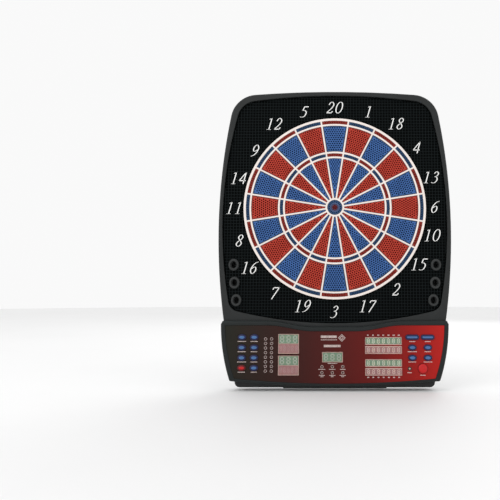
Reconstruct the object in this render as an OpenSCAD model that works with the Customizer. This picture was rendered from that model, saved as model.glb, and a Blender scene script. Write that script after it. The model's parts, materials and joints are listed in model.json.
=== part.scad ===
// Electronic dartboard: a barrel-sided wall case with a round target of sprung
// keys under a web, and a wider control console across the foot.
// X runs right, Z runs up and the front faces -Y. The wall is the plane Y = 0,
// and the origin is on the back face, straight behind the bull.
// Depths are measured forwards from the wall.

/* [Case] */
// Half of the case's greatest width
case_half_w = 217.5; // [215:0.5:219]
// Height of the widest place, from the bull
widest_z = -36; // [-50:1:-30]
// Radius of the bowed sides
side_r = 1170; // [1100:10:1250]
// Top of the case at its middle
top_z = 223.5; // [221:0.5:225]
// Radius of the arched top
top_r = 2000; // [1800:50:2300]
// Radius of the top corners
corner_r = 50; // [42:1:52]
// Foot of the case
foot_z = -331.5; // [-333:0.5:-330]
// Wall thickness of the case mouldings
wall = 2.6; // [2.2:0.1:2.8]
// Depth of the bezel's front face
bezel_d = 36.5; // [36:0.1:37]
// Depth of the joint between the rear cover and the front frame
split_d = 14.3; // [14:0.1:14.6]

/* [Number panel] */
// Half of the panel's greatest width
panel_half_w = 210.3; // [208:0.1:211]
// Top of the panel at its middle
panel_top_z = 215.4; // [214:0.2:216]
// Foot of the panel at its middle
panel_foot_z = -214.7; // [-215:0.1:-214]
// Depth of the panel's front face
panel_d = 31.9; // [31.5:0.1:32.2]

/* [Target] */
// Outer radius of the web
target_r = 171.5; // [171:0.1:172]
// Width of a web spoke
spoke_w = 3; // [2.8:0.1:3.4]
// Depth of the web's front face
web_d = 34; // [33.8:0.1:34.2]
// Gap between a key and the web
key_gap = 0.3; // [0.25:0.05:0.4]
// How far a key moves when it is hit
key_travel = 1; // [0.6:0.1:1]
// Radius of the inner bull
bull_r = 6.3; // [6:0.1:6.4]

/* [Console] */
// Half of the console's greatest width
console_half_w = 207.8; // [207:0.2:209]
// Foot of the console's front at its middle
console_foot_z = -326; // [-327:0.5:-325.5]
// Depth of the console's rim
console_d = 45.6; // [45.4:0.1:46]
// Depth of the printed overlay's front face
overlay_d = 45; // [44.9:0.05:45.2]
// How far a push button moves
button_travel = 1.5; // [1:0.1:1.6]
// Button cap, width and height
cap = [15.2, 10.8]; // [9:0.1:16]
// Wide button cap, width and height
wide_cap = [24.8, 9.2]; // [9:0.1:25]
// Radius of the round player change button
round_cap_r = 8.7; // [8:0.1:9]

/* [Dart sockets] */
// Rubber socket rim, width and height
socket_rim = [19.6, 22.6]; // [19:0.2:23]
// Hole that takes a dart, width and height
socket_hole = [7.6, 10.4]; // [7:0.2:11]
// Depth that the hole's floor lies at
socket_floor_d = 13.5; // [13:0.5:15]

/* [Hanging] */
// Distance of each keyhole from the middle
hanger_x = 140; // [130:5:145]
// Height of the keyholes' round ends
hanger_z = 120; // [110:5:130]
// Radius of a keyhole's round end
hanger_r = 4.6; // [4.5:0.1:5]

/* [Hidden] */
$fn = 96;
NUMBERS = [20, 1, 18, 4, 13, 6, 10, 15, 2, 17, 3, 19, 7, 16, 8, 11, 14, 9, 12, 5];
LEFT_KEYS = ["game", "option", "handicap", "double_out", "missed", "bounce", "power", "sound"];
RIGHT_KEYS = ["select_left", "select_right", "cricket", "score_show", "reset", "solo"];

// Web rings, inner and outer radius: bull, triple's two sides, double's inside
BULL_RING = [14.2, 17.7];
TRIPLE_IN = [94, 97.4];
TRIPLE_OUT = [103.4, 106.9];
DOUBLE_IN = [157.1, 160.5];
RIM = [167, target_r];
// The spaces between the rings, from the inner single out to the double
BANDS = [[BULL_RING[1], TRIPLE_IN[0]], [TRIPLE_IN[1], TRIPLE_OUT[0]],
         [TRIPLE_OUT[1], DOUBLE_IN[0]], [DOUBLE_IN[1], RIM[0]]];
sector = 360 / len(NUMBERS);
web_back_d = 24;
web_flange_r = target_r + 7;
key_top_d = web_d - 0.6;
key_back_d = web_back_d + key_travel;
key_skin = 2.5;
key_wall = 1.6;

// Layers behind the keys, back to front
plate_d = [17.3, 20.3];
sensor_d = [20.7, 21.3];
mat_d = [21.6, 23.7];
plate_r = 190;
layer_r = 176;
panel_back_d = panel_d - 2.6;

// Case sides, console sides and the arcs that bound them
foot_step_z = foot_z + 1.8;
foot_step_x = 94;
skirt_top_z = -232;
skirt_foot_x = 182.5;
skirt_front_d = 32.2;
ledge_foot_z = -226;
sill_top_z = -317;
sill_t = 2.5;
console_side_r = 325;
console_side_z = -212;
console_foot_r = 2075;
console_top_z = -210;
overlay_half_w = 199.6;
overlay_side_r = 290;
overlay_foot_z = -321.5;
overlay_foot_r = 1850;
overlay_top_z = -217.9;
overlay_t = 0.8;
dip_h = 10.6;
dip_from = 122;
dip_to = 40;
housing_front_d = [41.6, 44];

// Console layers
board_d = [33.2, 34.8];
keypad_d = [35.2, 37.2];
cap_flange_d = [keypad_d[1] + button_travel + 0.3, 41.2];
cap_shoulder_d = 46.6;
cap_top_d = 47.6;
display_d = [35.1, 43.8];
lamp_d = [35.1, 45.3];
lamp_r = 1.6;

// Console places, x and z
left_x = [-168.5, -146.2];
right_x = [140.5, 168.5];
button_z = [-239.2, -257.5, -275.7, -293.7];
player_change_at = [158.9, -294.7];
player_x = [-102.9, -64.9];
player_upper_z = [-268.7, -233.3];
player_lower_z = [-307.1, -271.7];
centre_x = [-23.2, 14.7];
centre_z = [-284, -265.3];
cricket_x = [54.8, 121.7];
cricket_upper_z = [-269, -238.7];
cricket_lower_z = [-307.4, -278.2];
round_lamp_x = [-125.5, -114.6];
round_lamp_z = [for (i = [0:7]) -242.2 - 8.13 * i];
mode_lamp_x = [-23.2, -4.4, 14.4];
mode_lamp_z = [-291.5, -302.1];
ready_lamp_at = [135.2, -295];
LAMPS = concat(
    [for (x = round_lamp_x, z = round_lamp_z) [x, z]],
    [for (x = mode_lamp_x, z = mode_lamp_z) [x, z]],
    [ready_lamp_at]
);
PEGS = [[-44, -240], [44, -240], [-44, -303], [44, -303], [-132, -306], [126, -310]];
speaker_at = [-30, -285];
jack_at = [120, 21.5];
jack_floor_z = foot_step_z + 10;
jack_pin_r = 1;

SOCKETS = [[188, -107.6], [186, -140.7], [182, -172.8]];
plate_screw_r = 184;
PLATE_SCREWS = [for (i = [0:7]) plate_screw_r * [cos(45 * i + 22.5), sin(45 * i + 22.5)]];
screw_r = 1.5;
screw_gap = 0.1;
screw_inset = 9;
CASE_SCREWS = concat(
    [for (z = [130, -20, -150]) [side_x(z) - screw_inset, z]],
    [[75, top_z - screw_inset - 1.4], [165, foot_step_z + 6]]
);

// ---- Outline functions: each gives points of the right half, foot to top ----

function side_x(z) = case_half_w - side_r + sqrt(pow(side_r, 2) - pow(z - widest_z, 2));

function arc(c, r, from, to, n) =
    [for (i = [0:n]) let (a = from + (to - from) * i / n) c + r * [cos(a), sin(a)]];

function angle_of(v) = atan2(v[1], v[0]);

// The place where two circles meet, on the left of the way from a to b
function meet(a, ra, b, rb) =
    let (d = norm(b - a), t = (ra * ra - rb * rb + d * d) / (2 * d), u = (b - a) / d)
    a + t * u + sqrt(ra * ra - t * t) * [-u[1], u[0]];

// A round corner of radius r that joins arc a to arc b, with both arcs' circles around it
function corner(a, ra, b, rb, r, n) =
    let (k = meet(a, ra - r, b, rb - r)) arc(k, r, angle_of(k - a), angle_of(k - b), n);

function mirrored(half) =
    concat(half, [for (i = [len(half) - 1:-1:0]) if (half[i][0] > 0.01) [-half[i][0], half[i][1]]]);

// Whole case, inset by s: stepped foot, tapered skirt, bowed side, arched top
function case_outline(s) =
    let (a = [case_half_w - side_r, widest_z], ra = side_r - s,
         b = [0, top_z - top_r], rb = top_r - s, r = corner_r - s,
         bend = corner(a, ra, b, rb, r, 10))
    mirrored(concat(
        [[0, foot_z + s], [foot_step_x - s, foot_z + s], [foot_step_x - s, foot_step_z + s]],
        arc([skirt_foot_x - 9, foot_step_z + 9], 9 - s, -90, 0, 4),
        arc(a, ra, asin((skirt_top_z - widest_z) / ra), angle_of(bend[0] - a), 22),
        bend,
        arc(b, rb, angle_of(bend[10] - b), 90, 8)
    ));

// Number panel window, inset by s: four bowed sides and round corners
function window_outline(s) =
    let (side = 820 - s, a = [panel_half_w - 820, -25],
         crown = 1130 - s, b = [0, panel_top_z - 1130],
         foot = 760 - s, c = [0, panel_foot_z + 760],
         low = corner(c, foot, a, side, 22 - s, 8),
         high = corner(a, side, b, crown, 38 - s, 10))
    mirrored(concat(
        arc(c, foot, -90, angle_of(low[0] - c), 8), low,
        arc(a, side, angle_of(low[8] - a), angle_of(high[0] - a), 18), high,
        arc(b, crown, angle_of(high[10] - b), 90, 8)
    ));

// Top edge that dips towards the middle, from the outside in
function dipped_edge(z, s) =
    [for (i = [0:8]) let (t = i / 8)
        [dip_from + (dip_to - dip_from) * t, z - s - dip_h * (1 - cos(180 * t)) / 2]];

function console_outline(s) =
    let (a = [console_half_w - console_side_r, console_side_z], ra = console_side_r - s,
         b = [0, console_foot_z + console_foot_r], rb = console_foot_r - s,
         r = max(3.5 - s, 0.6), bend = corner(b, rb, a, ra, r, 4))
    mirrored(concat(
        arc(b, rb, -90, angle_of(bend[0] - b), 8), bend,
        arc(a, ra, angle_of(bend[4] - a), -0.67, 10),
        [[console_half_w - 3.2 - s, console_top_z - s]],
        dipped_edge(console_top_z, s), [[0, console_top_z - s - dip_h]]
    ));

function overlay_outline(s) =
    let (a = [overlay_half_w - overlay_side_r, console_side_z], ra = overlay_side_r - s,
         b = [0, overlay_foot_z + overlay_foot_r], rb = overlay_foot_r - s,
         bend = corner(b, rb, a, ra, 2, 3))
    mirrored(concat(
        arc(b, rb, -90, angle_of(bend[0] - b), 8), bend,
        arc(a, ra, angle_of(bend[3] - a), asin((overlay_top_z - console_side_z - s) / ra), 8),
        dipped_edge(overlay_top_z, s), [[0, overlay_top_z - s - dip_h]]
    ));

// ---- Shared building blocks ----

// Extrudes a shape drawn in x and z between two depths
module slab(from, to) {
    translate([0, -from, 0]) rotate([90, 0, 0]) linear_extrude(to - from) children();
}

module rod(at, from, to, r) {
    slab(from, to) translate(at) circle(r);
}

module both_sides() {
    children();
    mirror([1, 0, 0]) children();
}

module oval(size, grow = 0) {
    n = 36;
    polygon([for (i = [0:n - 1]) let (a = 360 * i / n)
        [(size[0] / 2 + grow) * cos(a), (size[1] / 2 + grow) * sin(a)]]);
}

module stadium(size, grow = 0) {
    r = size[1] / 2 + grow;
    reach = (size[0] - size[1]) / 2;
    square([2 * reach, 2 * r], center = true);
    for (x = [-reach, reach]) translate([x, 0]) circle(r, $fn = 32);
}

module window(x, z, grow = 0) {
    translate([x[0] - grow, z[0] - grow]) square([x[1] - x[0] + 2 * grow, z[1] - z[0] + 2 * grow]);
}

// A key's outline: the band from r0 to r1 with straight flanks, half_gap off the spoke's middle line
module key_outline(index, r0, r1, half_gap) {
    intersection() {
        difference() {
            circle(r1);
            circle(r0);
        }
        rotate(90 - sector * index) translate([half_gap / sin(sector / 2), 0])
            polygon([[0, 0], [200, -200 * tan(sector / 2)], [200, 200 * tan(sector / 2)]]);
    }
}

// ---- Case ----

module keyhole_outline() {
    circle(hanger_r);
    translate([-2.4, 0]) square([4.8, 10]);
    translate([0, 10]) circle(2.4);
}

module rear_cover() {
    floor_t = 2.5;
    color("dimgray") difference() {
        union() {
            difference() {
                slab(0, split_d) polygon(case_outline(2));
                slab(floor_t, split_d + 1) polygon(case_outline(2 + wall));
            }
            both_sides() for (p = CASE_SCREWS) rod(p, 1, split_d, 3.6);
            both_sides() slab(1, 10) translate([hanger_x, hanger_z + 5]) square([18, 30], center = true);
            rod(speaker_at, 1, 4, 22.4);
        }
        both_sides() for (p = CASE_SCREWS) {
            rod(p, -1, split_d + 1, screw_r + 0.2);
            rod(p, -1, 2, 3.2);
        }
        both_sides() slab(-1, floor_t) translate([hanger_x, hanger_z]) keyhole_outline();
        both_sides() slab(floor_t - 0.1, 8.4) translate([hanger_x, hanger_z + 5])
            square([14.8, 26.8], center = true);
        rod(speaker_at, 3, 5, 20.4);
        for (x = [-12:6:12]) slab(-1, 5) translate([speaker_at[0] + x, speaker_at[1]])
            square([2.4, 26], center = true);
    }
}

module front_frame() {
    color([0.2, 0.21, 0.21]) difference() {
        union() {
            difference() {
                slab(split_d, bezel_d) polygon(case_outline(0));
                slab(split_d - 1, bezel_d - 2.5) polygon(case_outline(wall));
                slab(bezel_d - 4, bezel_d + 1) polygon(window_outline(0));
                slab(skirt_front_d, bezel_d + 1) window([-250, 250], [-340, ledge_foot_z]);
            }
            // the sill that closes the foot below the console
            slab(skirt_front_d - sill_t, skirt_front_d) intersection() {
                polygon(case_outline(0.5));
                window([-250, 250], [-340, sill_top_z]);
            }
            slab(28, bezel_d - 2.5) difference() {
                polygon(window_outline(-2.2));
                polygon(window_outline(0));
            }
            slab(26.4, 28.8) difference() {
                polygon(window_outline(-2.2));
                polygon(window_outline(6));
            }
            both_sides() for (i = [0:3]) rod(CASE_SCREWS[i], split_d + 0.3, 28.4, 3.6);
            both_sides() rod(CASE_SCREWS[4], split_d + 0.3, skirt_front_d, 4);
        }
        both_sides() for (p = CASE_SCREWS) rod(p, split_d - 1, 26, screw_r + screw_gap);
        translate([jack_at[0], -jack_at[1], foot_z - 1]) cylinder(h = 8, r = 5.6);
    }
}

module number_panel() {
    color([0.06, 0.07, 0.07]) difference() {
        union() {
            slab(panel_back_d, panel_d) polygon(window_outline(0.35));
            for (p = PLATE_SCREWS) rod(p, plate_d[1] + 0.3, panel_back_d + 0.5, 4);
        }
        slab(panel_back_d - 1, panel_d + 1) circle(target_r + 0.4);
        for (p = PLATE_SCREWS) rod(p, plate_d[1], panel_back_d, screw_r + screw_gap);
        both_sides() for (p = SOCKETS) slab(panel_back_d - 1, panel_d + 1)
            translate(p) oval(socket_hole, 3.3);
    }
}

module case_screws() {
    color("silver") both_sides() for (p = CASE_SCREWS) {
        rod(p, 0.3, 1.9, 2.9);
        rod(p, 1.8, 24, screw_r);
    }
}

// ---- Target ----

module web() {
    color([0.97, 0.95, 0.92]) {
        for (ring = [BULL_RING, TRIPLE_IN, TRIPLE_OUT, DOUBLE_IN, RIM])
            slab(web_back_d, web_d) difference() {
                circle(ring[1]);
                circle(ring[0]);
            }
        slab(web_back_d, web_back_d + 2) difference() {
            circle(web_flange_r);
            circle(RIM[0]);
        }
        for (i = [0:len(NUMBERS) - 1]) slab(web_back_d, web_d) rotate(sector * (i + 0.5))
            translate([BULL_RING[0] + 2, -spoke_w / 2]) square([RIM[0] - BULL_RING[0], spoke_w]);
    }
}

module keys(index) {
    blue = [0.2, 0.33, 0.6];
    red = [0.66, 0.17, 0.15];
    flank = spoke_w / 2 + key_gap;
    for (b = [0:3]) {
        r0 = BANDS[b][0] + key_gap;
        r1 = BANDS[b][1] - key_gap;
        color((b + index) % 2 == 0 ? blue : red) difference() {
            slab(key_back_d, key_top_d) key_outline(index, r0, r1, flank);
            if (b % 2 == 0) slab(key_back_d - 1, key_top_d - key_skin)
                key_outline(index, r0 + key_wall, r1 - key_wall, flank + key_wall);
        }
    }
}

module bull_outer() {
    color([0.2, 0.33, 0.6]) slab(key_back_d, key_top_d) difference() {
        circle(BULL_RING[0] - key_gap);
        circle(bull_r + key_gap);
    }
}

module bull_inner() {
    color([0.66, 0.17, 0.15]) rod([0, 0], key_back_d, key_top_d, bull_r);
}

module return_mat() {
    color([0.12, 0.12, 0.12]) rod([0, 0], mat_d[0], mat_d[1], layer_r);
}

module sensor_sheet() {
    color([0.75, 0.72, 0.55]) slab(sensor_d[0], sensor_d[1]) {
        circle(layer_r);
        translate([-22, -222]) square([44, 60]);
    }
}

module backing_plate() {
    color([0.55, 0.42, 0.28]) slab(plate_d[0], plate_d[1]) difference() {
        circle(plate_r);
        for (p = PLATE_SCREWS) translate(p) circle(screw_r + 0.3);
    }
}

module plate_screws() {
    color("silver") for (p = PLATE_SCREWS) {
        rod(p, 15.4, plate_d[0] - 0.2, 3);
        rod(p, plate_d[0] - 0.3, 26, screw_r);
    }
}

module dart_sockets() {
    color([0.17, 0.18, 0.18]) both_sides() for (p = SOCKETS) difference() {
        union() {
            slab(panel_d + 0.3, bezel_d) translate(p) oval(socket_rim);
            slab(socket_floor_d - 1.5, panel_d + 0.4) translate(p) oval(socket_hole, 3);
        }
        slab(socket_floor_d, bezel_d + 1) translate(p) oval(socket_hole);
    }
}

// ---- Console ----

// Every hole that a button passes through, grown by the given amount
module button_holes(grow) {
    for (x = left_x, z = button_z) translate([x, z]) oval(cap, grow);
    for (x = right_x) {
        translate([x, button_z[0]]) stadium(wide_cap, grow);
        for (i = [1, 2]) translate([x, button_z[i]]) oval(cap, grow);
    }
    translate(player_change_at) circle(round_cap_r + grow);
}

module display_windows(grow) {
    for (z = [player_upper_z, player_lower_z]) window(player_x, z, grow);
    for (z = [cricket_upper_z, cricket_lower_z]) window(cricket_x, z, grow);
    window(centre_x, centre_z, grow);
}

module lamp_windows() {
    for (x = round_lamp_x) window([x - 2.2, x + 2.2], [round_lamp_z[7] - 3, round_lamp_z[0] + 3]);
    for (z = mode_lamp_z) window([mode_lamp_x[0] - 3, mode_lamp_x[2] + 3], [z - 2.2, z + 2.2]);
    translate(ready_lamp_at) circle(lamp_r + 0.4);
}

module console_housing() {
    below_ledge = ledge_foot_z - 1;
    color([0.17, 0.18, 0.18]) {
        slab(36.8, console_d) difference() {
            polygon(console_outline(0));
            polygon(console_outline(wall));
        }
        slab(32.5, 37) intersection() {
            difference() {
                polygon(console_outline(0));
                polygon(console_outline(wall));
            }
            window([-250, 250], [-340, below_ledge]);
        }
        slab(12.5, 37) difference() {
            polygon(console_outline(0));
            polygon(console_outline(wall));
            polygon(case_outline(-0.4));
        }
        slab(housing_front_d[0], housing_front_d[1]) difference() {
            polygon(console_outline(1));
            button_holes(0.3);
            display_windows(0.4);
            lamp_windows();
        }
        slab(housing_front_d[1] - 0.1, console_d) difference() {
            polygon(console_outline(1));
            polygon(overlay_outline(0));
        }
        for (p = PEGS) {
            rod(p, board_d[1] + 0.2, housing_front_d[0] + 0.5, 3);
            rod(p, board_d[0] - 0.8, board_d[1] + 0.3, 1.4);
        }
    }
}

module console_overlay() {
    color([0.5, 0.12, 0.11]) slab(overlay_d - overlay_t, overlay_d) difference() {
        polygon(overlay_outline(0.25));
        button_holes(0.3);
        display_windows(0);
        for (p = LAMPS) translate(p) circle(lamp_r + 0.3);
    }
}

module display(x, z) {
    slab(display_d[0], display_d[1]) window(x, z);
}

module player_display_upper() {
    color([0.6, 0.65, 0.58]) display(player_x, player_upper_z);
}

module player_display_lower() {
    color([0.6, 0.65, 0.58]) display(player_x, player_lower_z);
}

module centre_display() {
    color([0.6, 0.68, 0.6]) display(centre_x, centre_z);
}

module cricket_display_upper() {
    color([0.65, 0.6, 0.55]) display(cricket_x, cricket_upper_z);
}

module cricket_display_lower() {
    color([0.65, 0.6, 0.55]) display(cricket_x, cricket_lower_z);
}

module indicator_lamps() {
    color([0.75, 0.7, 0.65]) for (p = LAMPS) rod(p, lamp_d[0], lamp_d[1], lamp_r);
}

module keypad_mats() {
    color([0.75, 0.75, 0.72]) slab(keypad_d[0], keypad_d[1]) difference() {
        union() {
            window([-177, -136.5], [-302, -231]);
            window([127.5, 177], [-305, -231]);
        }
        translate(ready_lamp_at) circle(lamp_r + 1);
    }
}

module main_board() {
    color([0.1, 0.35, 0.18]) slab(board_d[0], board_d[1]) difference() {
        window([-178, 178], [-314, -230]);
        for (p = PEGS) translate(p) circle(1.6);
    }
}

module ribbon_cable() {
    t = 0.5;
    color([0.6, 0.6, 0.62]) translate([-18, 0, 0]) rotate([90, 0, 90]) linear_extrude(36)
        polygon([[-21.6, -218], [-21.6 - t, -218], [-21.6 - t, -226], [-32.8, -248],
                 [-32.8, -262], [-32.8 + t, -262], [-32.8 + t, -247.8], [-21.6, -225.6]]);
}

module speaker() {
    color([0.25, 0.25, 0.27]) translate([speaker_at[0], 0, speaker_at[1]]) rotate([90, 0, 0]) {
        translate([0, 0, 3.2]) cylinder(h = 3, r = 20);
        translate([0, 0, 6.1]) cylinder(h = 6, r1 = 18.5, r2 = 9);
        translate([0, 0, 12]) cylinder(h = 5, r = 9);
    }
}

module power_socket() {
    color([0.1, 0.1, 0.1]) translate([jack_at[0], -jack_at[1], 0]) {
        difference() {
            union() {
                translate([-7, -5.5, foot_step_z + wall + 0.4]) cube([14, 11, 14]);
                translate([0, 0, foot_step_z + 0.2]) cylinder(h = 6, r = 5.2);
            }
            translate([0, 0, foot_z - 1]) cylinder(h = jack_floor_z - foot_z + 1, r = 3.1);
        }
        translate([0, 0, foot_step_z + 1.5]) cylinder(h = jack_floor_z - foot_step_z - 1, r = jack_pin_r);
    }
}

// ---- Push buttons ----

// The inside flange keeps the cap in the housing; the raised middle is set in from the cap's edge
module button_cap(at, round_ends = false) {
    size = round_ends ? wide_cap : cap;
    module face(grow) {
        translate(at) if (round_ends) stadium(size, grow); else oval(size, grow);
    }
    slab(cap_flange_d[0], cap_flange_d[1]) face(1.5);
    slab(cap_flange_d[1] - 0.1, cap_shoulder_d) face(0);
    slab(cap_shoulder_d - 0.1, cap_top_d) face(-1.5);
}

module button_left(i) {
    color(i == 6 ? [0.75, 0.2, 0.18] : [0.35, 0.5, 0.75])
        button_cap([left_x[i % 2], button_z[floor(i / 2)]]);
}

module button_right(i) {
    color([0.35, 0.5, 0.75]) button_cap([right_x[i % 2], button_z[floor(i / 2)]], i < 2);
}

module button_player_change() {
    dome_r = 17;
    color([0.75, 0.17, 0.15]) {
        rod(player_change_at, cap_flange_d[0], cap_flange_d[1], round_cap_r + 1.5);
        rod(player_change_at, cap_flange_d[1] - 0.1, cap_shoulder_d, round_cap_r);
        intersection() {
            rod(player_change_at, cap_shoulder_d - 0.1, cap_top_d + 1.5, round_cap_r);
            translate([player_change_at[0], dome_r - cap_top_d - 1.2, player_change_at[1]]) sphere(dome_r);
        }
    }
}

rear_cover();
front_frame();
number_panel();
web();
return_mat();
sensor_sheet();
backing_plate();
console_housing();
console_overlay();
player_display_upper();
player_display_lower();
centre_display();
cricket_display_upper();
cricket_display_lower();
indicator_lamps();
keypad_mats();
main_board();
ribbon_cable();
speaker();
power_socket();
dart_sockets();
case_screws();
plate_screws();
bull_outer();
bull_inner();
button_player_change();
for (i = [0:len(NUMBERS) - 1]) {
    keys(i);
}
for (i = [0:len(LEFT_KEYS) - 1]) {
    button_left(i);
}
for (i = [0:len(RIGHT_KEYS) - 1]) {
    button_right(i);
}
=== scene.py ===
"""The looks of the electronic dartboard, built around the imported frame.

X runs right, Z up and the front faces -Y, with the origin on the back face behind the bull.
Flat shapes are lists of (x, z) points, and a depth is the distance in front of the wall plane.
Lengths are in metres; MM turns millimetres into them.
"""

import json
import math
import random

import bmesh
import bpy
import numpy as np
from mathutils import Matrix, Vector
from mathutils.geometry import delaunay_2d_cdt


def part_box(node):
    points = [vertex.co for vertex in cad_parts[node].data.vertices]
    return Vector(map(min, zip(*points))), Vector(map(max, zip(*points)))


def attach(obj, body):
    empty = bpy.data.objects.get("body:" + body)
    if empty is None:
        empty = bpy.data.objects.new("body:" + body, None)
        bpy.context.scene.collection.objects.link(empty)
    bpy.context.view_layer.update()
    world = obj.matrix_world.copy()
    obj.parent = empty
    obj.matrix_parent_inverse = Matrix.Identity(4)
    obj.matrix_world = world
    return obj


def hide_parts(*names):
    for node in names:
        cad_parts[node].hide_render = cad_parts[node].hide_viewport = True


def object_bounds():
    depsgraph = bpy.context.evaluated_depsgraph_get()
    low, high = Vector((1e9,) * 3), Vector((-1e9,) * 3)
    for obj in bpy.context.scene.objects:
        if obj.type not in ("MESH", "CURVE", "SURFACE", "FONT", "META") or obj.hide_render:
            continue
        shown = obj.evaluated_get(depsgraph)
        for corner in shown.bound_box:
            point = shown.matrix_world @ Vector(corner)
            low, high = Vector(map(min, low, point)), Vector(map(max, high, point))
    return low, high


MM = 0.001
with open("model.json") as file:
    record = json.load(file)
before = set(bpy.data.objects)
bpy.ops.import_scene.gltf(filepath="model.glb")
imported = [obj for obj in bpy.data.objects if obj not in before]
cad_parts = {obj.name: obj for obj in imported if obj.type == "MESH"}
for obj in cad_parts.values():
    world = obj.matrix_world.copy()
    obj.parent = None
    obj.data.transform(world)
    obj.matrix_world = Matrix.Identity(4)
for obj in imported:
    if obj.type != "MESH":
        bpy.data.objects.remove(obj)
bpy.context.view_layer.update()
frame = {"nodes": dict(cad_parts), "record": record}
record = frame["record"]
BODY_OF = {n: body for body, nodes in record["behaviour"]["bodies"].items() for n in nodes}
SLOT_OF = {part["node"]: part["material_slot"] for part in record["subparts"]}
NUMBERS = [20, 1, 18, 4, 13, 6, 10, 15, 2, 17, 3, 19, 7, 16, 8, 11, 14, 9, 12, 5]
SECTOR = 2 * math.pi / len(NUMBERS)


# ---- Camera: a little below the bull, looking up at it ----

def make_camera():
    distance, rise = 1.227, math.radians(7.2)
    bull = Vector((0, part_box("web")[0].y, 0))
    camera = bpy.data.objects.new("camera", bpy.data.cameras.new("camera"))
    camera.data.lens = 47.04
    camera.data.sensor_width = 36
    camera.data.shift_x = -0.1696
    camera.data.shift_y = -0.0854
    camera.data.clip_start = 0.01
    camera.location = bull - distance * Vector((0, math.cos(rise), math.sin(rise)))
    camera.rotation_euler = (math.pi / 2 + rise, 0, 0)
    bpy.context.scene.collection.objects.link(camera)
    bpy.context.scene.camera = camera


make_camera()


# ---- Materials ----

class Nodes:
    """Short names for building one material's node tree. Coordinates are the object's own."""

    def __init__(self, name, rough, coat=0.0, shine=0.5):
        self.material = bpy.data.materials.new(name)
        self.material.use_nodes = True
        self.tree = self.material.node_tree
        self.shader = self.tree.nodes["Principled BSDF"]
        self.shader.inputs["Roughness"].default_value = rough
        self.shader.inputs["Specular IOR Level"].default_value = shine
        self.shader.inputs["Coat Weight"].default_value = coat
        self.shader.inputs["Coat Roughness"].default_value = 0.12
        self.place = self.add("ShaderNodeTexCoord").outputs["Object"]

    def add(self, kind, **settings):
        node = self.tree.nodes.new(kind)
        for key, value in settings.items():
            setattr(node, key, value)
        return node

    def link(self, source, target):
        self.tree.links.new(source, target)

    def noise(self, size, detail=3.0, rough=0.55):
        """Noise from 0 to 1 with features of about that size."""
        node = self.add("ShaderNodeTexNoise")
        node.inputs["Scale"].default_value = 1 / size
        node.inputs["Detail"].default_value = detail
        node.inputs["Roughness"].default_value = rough
        self.link(self.place, node.inputs["Vector"])
        return node.outputs["Fac"]

    def spread(self, value, low, high, start=0.3, end=0.7):
        node = self.add("ShaderNodeMapRange", clamp=True)
        for name, number in (("From Min", start), ("From Max", end), ("To Min", low), ("To Max", high)):
            node.inputs[name].default_value = number
        self.link(value, node.inputs["Value"])
        return node.outputs["Result"]

    def mix(self, share, first, second):
        """A colour between first and second; either is a colour or a socket."""
        node = self.add("ShaderNodeMix", data_type="RGBA")
        self.link(share, node.inputs["Factor"])
        for socket, value in ((node.inputs[6], first), (node.inputs[7], second)):
            if isinstance(value, bpy.types.NodeSocket):
                self.link(value, socket)
            else:
                socket.default_value = (*value, 1)
        return node.outputs[2]

    def worn_edges(self, colour, worn):
        """The colour with a paler tone along sharp outer edges."""
        point = self.add("ShaderNodeNewGeometry").outputs["Pointiness"]
        return self.mix(self.spread(point, 0, 1, 0.52, 0.62), colour, worn)

    def bump(self, height, depth):
        node = self.add("ShaderNodeBump")
        node.inputs["Strength"].default_value = 1
        node.inputs["Distance"].default_value = depth
        self.link(height, node.inputs["Height"])
        self.link(node.outputs["Normal"], self.shader.inputs["Normal"])

    def finish(self, colour):
        self.link(colour, self.shader.inputs["Base Color"])
        return self.material


def scaled(colour, factor):
    return tuple(min(1.0, c * factor) for c in colour)


def plastic(name, colour, rough=0.42, grain=0.35 * MM, depth=0.02 * MM, mottle=0.12, wear=1.5,
            coat=0.0, shine=0.25):
    """Moulded plastic: fine spark-eroded grain, uneven tone and sheen, and edges rubbed paler."""
    n = Nodes(name, rough, coat, shine)
    tone = n.spread(n.noise(22 * MM), 0, 1)
    base = n.mix(tone, scaled(colour, 1 - mottle), scaled(colour, 1 + mottle))
    n.link(n.spread(n.noise(9 * MM, 4), rough - 0.06, rough + 0.08), n.shader.inputs["Roughness"])
    n.bump(n.noise(grain, 2), depth)
    return n.finish(n.worn_edges(base, scaled(colour, wear)))


def overlay_print():
    """A printed sheet under clear gloss: charcoal at the left, running through maroon to red."""
    n = Nodes("overlay_print", 0.4, 0.04, 0.08)
    split = n.add("ShaderNodeSeparateXYZ")
    n.link(n.place, split.inputs["Vector"])
    low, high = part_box("console_overlay")
    ramp = n.add("ShaderNodeValToRGB")
    n.link(n.spread(split.outputs["X"], 0, 1, low.x, high.x), ramp.inputs["Fac"])
    stops = [(0.0, (0.018, 0.019, 0.014)), (0.28, (0.038, 0.013, 0.011)), (0.5, (0.08, 0.0115, 0.01)),
             (0.68, (0.135, 0.0105, 0.009)), (0.84, (0.27, 0.012, 0.01)), (1.0, (0.46, 0.016, 0.013))]
    while len(ramp.color_ramp.elements) < len(stops):
        ramp.color_ramp.elements.new(0.5)
    for element, (at, colour) in zip(ramp.color_ramp.elements, stops):
        element.position, element.color = at, (*colour, 1)
    dark = n.add("ShaderNodeMix", data_type="RGBA", blend_type="MULTIPLY")
    n.link(n.spread(n.noise(0.5 * MM, 2), 0, 0.25), dark.inputs["Factor"])
    n.link(ramp.outputs["Color"], dark.inputs[6])
    dark.inputs[7].default_value = (0.6, 0.6, 0.6, 1)
    n.bump(n.noise(0.8 * MM, 2), 0.01 * MM)
    return n.finish(dark.outputs[2])


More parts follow.
